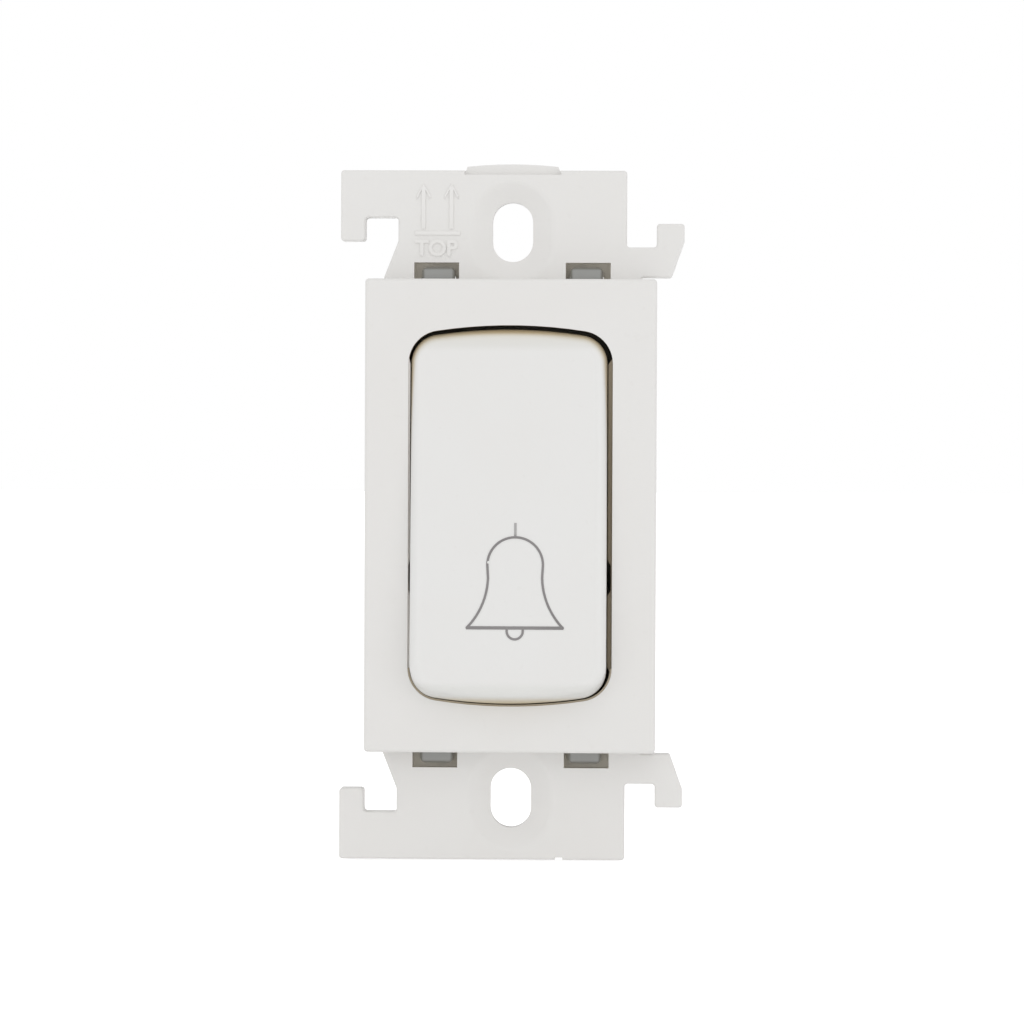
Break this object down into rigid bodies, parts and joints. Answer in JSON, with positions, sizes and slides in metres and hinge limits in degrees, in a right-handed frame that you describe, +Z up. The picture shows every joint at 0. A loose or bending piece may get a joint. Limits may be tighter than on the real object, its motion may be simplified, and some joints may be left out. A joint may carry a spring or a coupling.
{
  "type": "doorbell push button",
  "caption": "Flush-mounted doorbell push button: a rocker push with a bell mark in a clip-on support frame, with contact insert and screw terminals.",
  "frame": {"origin": "midway between the two box-screw slots, on the rear face of the support plate, which rests on the wall", "axes": "+Z up, towards the edge marked with arrows; -Y out of the wall towards the person; +X to the right seen from the front"},
  "size_m": [0.0364, 0.0309, 0.0737],
  "materials": {
    "white_frame_plastic": "satin moulded white plastic",
    "white_rocker_plastic": "smooth white plastic",
    "grey_print": "printed grey line",
    "grey_housing_plastic": "moulded grey plastic",
    "natural_plastic": "moulded natural plastic",
    "brass": "stamped brass",
    "silver_contact": "bright silver",
    "spring_steel": "drawn wire",
    "zinc_screw": "zinc-plated"
  },
  "bodies": {
    "insert": {"front_frame": "white_frame_plastic", "rear_housing": "grey_housing_plastic", "contact_cover": "grey_housing_plastic", "return_spring": "spring_steel", "fixed_strip_left": "brass", "fixed_strip_right": "brass", "fixed_contact_left": "silver_contact", "fixed_contact_right": "silver_contact", "terminal_block_left": "brass", "terminal_block_right": "brass", "terminal_screw_left": "zinc_screw", "terminal_screw_right": "zinc_screw", "cover_screw_upper": "zinc_screw", "cover_screw_lower": "zinc_screw"},
    "rocker": {"rocker": "white_rocker_plastic", "bell_mark": "grey_print"},
    "plunger": {"plunger": "natural_plastic", "overtravel_spring": "spring_steel"},
    "bridge": {"contact_bridge": "brass", "contact_tip_left": "silver_contact", "contact_tip_right": "silver_contact"}
  },
  "joints": [
    {"name": "rocker_press", "type": "hinge", "parent": "insert", "child": "rocker", "pos_m": [0, -0.00341, 0], "axis": [1, 0, 0], "range_deg": [0, 9], "stiffness_Nm_per_rad": 0.08, "springref_deg": -5.73},
    {"name": "plunger_slide", "type": "slide", "parent": "insert", "child": "plunger", "axis": [0, 1, 0], "range_m": [0, 0.00142], "deforming": ["return_spring"]},
    {"name": "bridge_overtravel", "type": "slide", "parent": "plunger", "child": "bridge", "axis": [0, -1, 0], "range_m": [0, 0.00032], "deforming": ["overtravel_spring"]}
  ],
  "couplings": [
    {"joint": "plunger_slide", "follows": "rocker_press", "m_per_rad": 0.00899},
    {"joint": "bridge_overtravel", "follows": "rocker_press", "m_per_rad": 0.00198}
  ]
}
